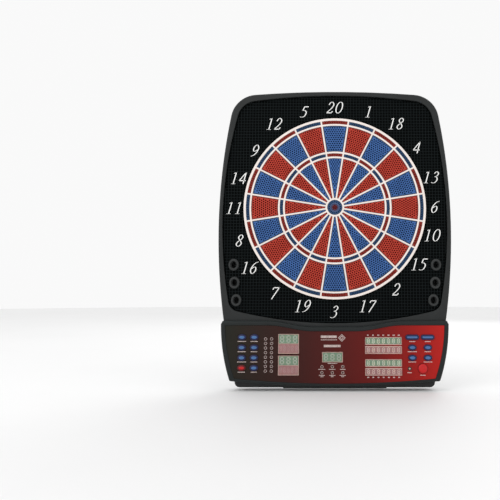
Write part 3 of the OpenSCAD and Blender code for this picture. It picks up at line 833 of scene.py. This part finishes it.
def make_buttons():
    """A cap for each button, a rim round a raised pad or a dome, on the flange that holds it in; the
    darker rim is partly the cap's own colour and partly painted shade on its slopes, and the paler pad is
    partly a painted highlight.
    """
    hidden = 3 * MM
    for node in sorted(BODY_OF):
        if not node.startswith("button_"):
            continue
        low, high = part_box(node)
        centre, top = centre_of(node), -low.y
        flange = 1.5 * MM
        half_w, half_h = (high.x - low.x) / 2 - flange, (high.z - low.z) / 2 - flange
        red = SLOT_OF[node] == "button_red"
        if node == "button_player_change":
            outline = oval(centre, half_w, half_h, 48)
            crown = [(half_w * (1 - math.cos(t)), top - 2.3 * MM + 2.3 * MM * math.sin(t), 1)
                     for t in np.linspace(0.25, 1.3, 8)]
            levels = [(0, top - hidden - 2 * MM, 0), (0, top - 2.6 * MM, 0), (0.5 * MM, top - 2.2 * MM, 1)]
            levels += [(by + 0.6 * MM, depth, 1) for by, depth, _ in crown if by < half_w - 1.5 * MM]
        else:
            wide = half_w > 1.8 * half_h
            outline = stadium(centre, half_w, half_h) if wide else oval(centre, half_w, half_h, 40)
            # pad: inset where the paler top begins, partly a painted highlight; the sloping rim outside it
            # is partly painted shade
            pad = 2.75 if wide else 2.5
            steps = [(0, 3, 0), (0, 1.4, 0), (0.3, 0.95, 0), (0.7, 0.8, 0), (pad, 0.72, 0),
                     (pad + 0.2, 0.42, 1), (pad + 0.45, 0.16, 1), (pad + 0.8, 0.04, 1), (pad + 1.3, 0, 1)]
            levels = [(by * MM, top - drop * MM, number) for by, drop, number in steps]
        mesh = Mesh()
        dome(mesh, outline, levels)
        low_flange = mesh.ring(inset(outline, -flange), -high.y)
        high_flange = mesh.ring(inset(outline, -flange), -high.y + 2 * MM)
        mesh.number = 0
        mesh.loft([low_flange, high_flange], True, True)
        # rim material: own darker edge plus painted shade; crown material: partly painted highlight
        colours = [RED_RIM_AND_SHADE, BUTTON_RED] if red else [BUTTON_RIM_AND_SHADE, BUTTON_BLUE]
        stand_for(mesh.piece(node + "_cap", colours, 60), node)


def bar_digit(mesh, x, z, w, h, depth, thick):
    """A seven-bar digit with its lower left corner at (x, z)."""
    gap = 0.12 * thick
    half = h / 2
    flat = [(x, z), (x, z + half), (x, z + h)]
    for left, level in flat:
        y = level - (0 if level == z else thick if level == z + h else thick / 2)
        tips = [(left + thick / 2 + gap, y + thick / 2), (left + thick + gap, y),
                (left + w - thick - gap, y), (left + w - thick / 2 - gap, y + thick / 2),
                (left + w - thick - gap, y + thick), (left + thick + gap, y + thick)]
        mesh.prism(tips, depth - 0.1 * MM, depth)
    for left in (x, x + w - thick):
        for low in (z + thick / 2 + gap, z + half + gap):
            high = low + half - thick / 2 - 2 * gap
            tips = [(left + thick / 2, low), (left + thick, low + thick / 2),
                    (left + thick, high - thick / 2), (left + thick / 2, high),
                    (left, high - thick / 2), (left, low + thick / 2)]
            mesh.prism(tips, depth - 0.1 * MM, depth)


def display(node, rows):
    """A pale framed block; rows are (from, to, glass, digit colour, digits, digit height)."""
    low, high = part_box(node)
    front, frame_w = -low.y, 1.4 * MM
    mesh = Mesh()
    mesh.prism(rectangle(low.x, low.z, high.x, high.z), -high.y, front, 0.25 * MM)
    x0, x1 = low.x + frame_w, high.x - frame_w
    for z_from, z_to, glass, ink, count, tall in rows:
        z0, z1 = low.z + z_from * MM, high.z - z_to * MM
        mesh.number = glass
        mesh.prism(rectangle(x0, z0, x1, z1), front - 0.2 * MM, front + 0.12 * MM, 0.1 * MM)
        mesh.number = ink
        step = (x1 - x0) / count
        w = min(0.66 * step, 0.6 * tall)
        for i in range(count):
            left = x0 + step * (i + 0.5) - w / 2
            bar_digit(mesh, left, (z0 + z1 - tall) / 2, w, tall, front + 0.2 * MM, 0.16 * tall)
    colours = [GLASS, GLASS_GREEN, GLASS_PINK, DIGIT_GREEN, DIGIT_PINK, DIGIT_PALE, DIGIT_ROSE]
    return stand_for(mesh.piece(node + "_window", colours, 30), node)


def make_displays():
    for node in ("player_display_upper", "player_display_lower"):
        display(node, [(18.1, 1.3, 1, 3, 3, 13.5 * MM), (1.3, 17.9, 2, 4, 5, 11 * MM)])
    display("centre_display", [(1.3, 1.3, 1, 3, 3, 12.5 * MM)])
    for node, split in (("cricket_display_upper", 15.2), ("cricket_display_lower", 14.6)):
        low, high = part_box(node)
        rise = (high.z - low.z) / MM - split
        display(node, [(rise + 2.6, 1.7, 1, 5, 7, 8.8 * MM), (1.7, split + 2.6, 2, 6, 7, 8.8 * MM)])
        # the print shows between its two rows
        mesh = Mesh()
        at = high.z - split * MM
        mesh.prism(rectangle(low.x + 0.05 * MM, at - 1.1 * MM, high.x - 0.05 * MM, at + 1.1 * MM),
                   -low.y - 0.3 * MM, -low.y + 0.15 * MM, 0.1 * MM)
        trim(mesh.piece(node + "_divider", [OVERLAY]))


def lamp_places():
    """Each lamp's centre, from the CAD lamps."""
    loops = flat_loops("indicator_lamps", front_of("indicator_lamps"))
    return [tuple(np.array(loop).mean(0)) for loop in loops]


def ready_lamp(places):
    """The lamp beside the large red button."""
    return max(places)


def make_lamps(places):
    """Small domed lamps; the ready lamp's lens is pale as a painted highlight."""
    radius, front = 1.6 * MM, front_of("indicator_lamps")
    mesh = Mesh()
    for at in places:
        # the ready lamp's pale lens is a painted highlight
        mesh.number = 1 if at == ready_lamp(places) else 0
        rings = [mesh.ring(oval(at, radius, radius, 20), front - 4 * MM)]
        for t in np.linspace(0, 1.25, 6):
            r = radius * math.cos(t)
            rings.append(mesh.ring(oval(at, r, r, 20), front - 0.9 * MM + 0.9 * MM * math.sin(t)))
        mesh.loft(rings, True, True)
    stand_for(mesh.piece("indicator_lamp_domes", [LAMP, LAMP_HIGHLIGHT], 60), "indicator_lamps")


def ring_mark(mesh, at, radius, width, back, front, steps=28):
    outer = oval(at, radius, radius, steps)
    inner = oval(at, radius - width, radius - width, steps)
    mesh.loft([mesh.ring(outer, back), mesh.ring(outer, front), mesh.ring(inner, front),
               mesh.ring(inner, back)])


def word(mesh, at, width, height, back, front, draw):
    """A row of small blocks standing for a label, without letters."""
    x = at[0] - width / 2
    while x < at[0] + width / 2 - 0.6 * MM:
        w = min(draw.uniform(0.8, 1.6) * MM, at[0] + width / 2 - x)
        mesh.prism(rectangle(x, at[1] - height / 2, x + w, at[1] + height / 2), back, front)
        x += w + draw.uniform(0.35, 0.7) * MM


def make_marks(lamps):
    """Everything printed in pale ink on the overlay."""
    draw = random.Random(7)
    front = front_of("console_overlay") + 0.06 * MM
    back = front - 0.5 * MM
    mesh = Mesh()
    for node in sorted(BODY_OF):
        if node.startswith("button_"):
            low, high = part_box(node)
            drop = 0.5 * MM if 12.5 * MM < high.z - low.z < 16 * MM else 1.6 * MM
            spot = ((low.x + high.x) / 2, low.z - drop)
            word(mesh, spot, draw.uniform(9, 17) * MM, 1.4 * MM, back, front, draw)
    # a ring for each lamp but the ready lamp, and words under the mode lamps in the middle
    for at in lamps:
        if at[0] > 0.1:
            continue
        ring_mark(mesh, at, 2.65 * MM, 0.5 * MM, back, front)
        if -0.05 < at[0] < 0.05:
            word(mesh, (at[0], at[1] - 4.7 * MM), draw.uniform(9, 16) * MM, 1.3 * MM, back, front, draw)
            if at[1] < -0.298:
                word(mesh, (at[0], at[1] - 7 * MM), 5 * MM, 1.2 * MM, back, front, draw)
    ready = ready_lamp(lamps)
    mesh.number = 1
    ring_mark(mesh, ready, 3.5 * MM, 1.5 * MM, back, front)
    mesh.number = 0
    word(mesh, (ready[0], ready[1] - 7 * MM), 8 * MM, 1.5 * MM, back, front, draw)
    for node, side in (("cricket_display_upper", 1), ("cricket_display_lower", 0)):
        low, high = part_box(node)
        z = high.z + 3.2 * MM if side else low.z - 2.8 * MM
        step = (high.x - low.x - 1.8 * MM) / 7
        for i in range(7):
            word(mesh, (low.x + 0.9 * MM + step * (i + 0.5), z), 3.4 * MM, 2 * MM, back, front, draw)
    low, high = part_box("centre_display")
    middle = (low.x + high.x) / 2
    word(mesh, (middle, low.z - 1.6 * MM), 17 * MM, 1.4 * MM, back, front, draw)
    word(mesh, (middle, high.z + 10.5 * MM), 31 * MM, 4.2 * MM, back, front, draw)
    word(mesh, (middle - 6 * MM, high.z + 21.5 * MM), 30 * MM, 1.2 * MM, back, front, draw)
    word(mesh, (middle - 6 * MM, high.z + 27 * MM), 30 * MM, 4.4 * MM, back, front, draw)
    emblem = (middle + 17 * MM, high.z + 25 * MM)
    for size in (6.6 * MM, 3.6 * MM):
        ring_mark(mesh, emblem, size, 1.2 * MM, back, front, 4)
    trim(mesh.piece("overlay_marks", [MARKS, CONSOLE], 30))


# ---- Back: screws and the shells ----

def make_screws(node, radius):
    """Pan heads with a cross recess, one for each CAD screw."""
    low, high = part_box(node)
    back, tall = -high.y, 1.6 * MM
    mesh = Mesh()
    for loop in flat_loops(node, back):
        at = tuple(np.array(loop).mean(0))
        cross = []
        for k in range(4):
            for r, turn in ((0.62, -0.13), (0.62, 0.13), (0.2, math.pi / 4)):
                a = math.pi / 2 * k + turn
                cross.append((at[0] + radius * r * math.cos(a), at[1] + radius * r * math.sin(a)))
        rings = []
        for t in np.linspace(0.05, 1.2, 5):
            r = radius * (0.72 + 0.28 * math.cos(t))
            rings.append(mesh.ring(oval(at, r, r, 24), back + tall * (1 - math.sin(t))))
        mesh.loft(rings)
        mouth, floor = mesh.ring(cross, back + tall * 0.06), mesh.ring(cross, back + 1.1 * MM)
        mesh.fill([rings[-1], mouth])
        mesh.skirt(mouth, floor)
        mesh.face(floor)
        shaft = oval(at, 1.5 * MM, 1.5 * MM, 16)
        mesh.loft([mesh.ring(shaft, back + tall), mesh.ring(shaft, -low.y)], True, True)
        mesh.loft([mesh.ring(oval(at, radius, radius, 24), back + tall)], True)
    stand_for(mesh.piece(node + "_heads", [STEEL], 40), node)


def make_rear_cover():
    """The back: a flat border with the screws, and a sunk field with moulded ribs.

    The lowest two screw holes are 0.8 mm from the edge, so both are rounded by less than half of that.
    """
    mesh = rounded_mesh("rear_cover", [(0, 0.35 * MM, 2, None)])
    outer, *holes = open_plane(mesh, 0)
    middles = [tuple(np.mean([(v.co.x, v.co.z) for v in ring], 0)) for ring in holes]
    low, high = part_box("rear_cover")
    middle, border, sunk, pitch, half_rib = (low.z + high.z) / 2, 14 * MM, 0.9 * MM, 32 * MM, 0.8 * MM
    shrink_x, shrink_z = 1 - border / high.x, 1 - border / (high.z - middle)
    field = [(v.co.x * shrink_x, middle + (v.co.z - middle) * shrink_z) for v in outer]
    keyholes = [m for m, ring in zip(middles, holes) if m[1] > 0 and clearance(m, field) > 40 * MM]
    islands = [oval(m, 14 * MM, 19 * MM, 40) for m in keyholes]
    islands.append(oval(centre_of("speaker"), 26 * MM, 26 * MM, 48))
    edge = mesh.ring(field, 0)
    mesh.fill([outer, edge] + [ring for m, ring in zip(middles, holes) if clearance(m, field) < 0])
    floor = [mesh.ring(inset(field, 0.4 * MM), sunk)]
    mesh.skirt(edge, floor[0])
    for island in islands:
        top = mesh.ring(island, 0)
        mesh.fill([top] + [ring for m, ring in zip(middles, holes) if clearance(m, island) > 0])
        floor.append(mesh.ring(inset(island, -0.4 * MM), sunk))
        mesh.skirt(top, floor[-1])
    mesh.fill(floor)
    for across, lower in ((0, 0.0), (1, 0.05 * MM)):
        for i in range(-9, 10):
            at = pitch * i + (0 if across == 0 else middle)
            for start, end in spans([field] + islands, at, across):
                outline = rib_outline(at, half_rib, start, end, across)
                mesh.prism(outline, sunk + 0.2 * MM, lower + 0.1 * MM, 0.25 * MM)
    weigh_normals(stand_for(mesh.piece("rear_cover_shell", [CASE_BACK], 40), "rear_cover"))


def make_shells():
    """The moulded shells with rounded edges; ledge is the depth of the frame's step above the console."""
    bezel, ledge = front_of("front_frame"), 32.2 * MM
    window = flat_loops("number_panel", front_of("number_panel"))[0]

    def outside(co):
        return clearance((co.x, co.z), window) < -2 * MM

    def inside(co):
        return not outside(co)

    rounded_copy("front_frame", CASE, [(bezel, 3.4 * MM, 5, outside), (bezel, 0.7 * MM, 2, inside),
                                       (ledge, 1.2 * MM, 3, None)])
    rim = front_of("console_housing")
    field = flat_loops("console_overlay", front_of("console_overlay"))[0]

    def beyond_print(co):
        return clearance((co.x, co.z), field) < -2 * MM

    def by_print(co):
        return not beyond_print(co)

    rounded_copy("console_housing", CONSOLE, [(rim, 3.0 * MM, 4, beyond_print),
                                              (rim, 1.2 * MM, 3, by_print)])
    make_rear_cover()
    rounded_copy("web", WEB, [(front_of("web"), 0.6 * MM, 2, None)])
    rounded_copy("console_overlay", OVERLAY, [(front_of("console_overlay"), 0.15 * MM, 1, None)])
    rounded_copy("power_socket", JACK, [])


def dress_inner_nodes():
    """The hidden pieces keep their CAD shape and get their own material."""
    looks = {"return_mat": MAT, "sensor_sheet": FILM, "backing_plate": FIBRE, "keypad_mats": SILICONE,
             "main_board": BOARD, "ribbon_cable": RIBBON, "speaker": SPEAKER, "plate_screws": STEEL}
    for node, material in looks.items():
        for slot in frame["nodes"][node].material_slots:
            slot.material = material


# ---- Room: a pale floor, soft lights and a white surround ----

def make_room():
    mesh = Mesh()
    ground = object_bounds()[0].z - 4 * MM
    mesh.face([mesh.bm.verts.new((x, y, ground)) for x, y in oval((0, 0), 6, 6, 64)])
    n = Nodes("floor", 0.7)
    floor = mesh.piece("floor", [n.finish(n.mix(n.noise(0.4), (0.86, 0.86, 0.86), (0.9, 0.9, 0.9)))])
    world = bpy.data.worlds.new("surround")
    bpy.context.scene.world = world
    world.use_nodes = True
    sky = world.node_tree.nodes["Background"]
    sky.inputs["Color"].default_value = (1, 1, 1, 1)
    sky.inputs["Strength"].default_value = 0.95
    lights = [("key", (-1.5, -1.9, 1.3), 15, 1.6), ("fill", (1.9, -1.6, 0.6), 3, 1.8),
              ("back", (0.8, 2.0, 1.2), 12, 1.5)]
    for name, place, power, size in lights:
        light = bpy.data.objects.new(name, bpy.data.lights.new(name, "AREA"))
        light.data.energy = power
        light.data.size = size
        light.location = place
        light.rotation_euler = (Vector((0, 0, -0.05)) - Vector(place)).to_track_quat("-Z", "Y").to_euler()
        bpy.context.scene.collection.objects.link(light)
    bpy.context.scene.view_settings.view_transform = "Standard"


make_shells()
make_keys()
make_bull_keys()
make_number_panel()
make_numerals()
make_dart_sockets()
make_buttons()
make_displays()
lamp_spots = lamp_places()
make_lamps(lamp_spots)
make_marks(lamp_spots)
make_screws("case_screws", 2.9 * MM)
dress_inner_nodes()
make_room()
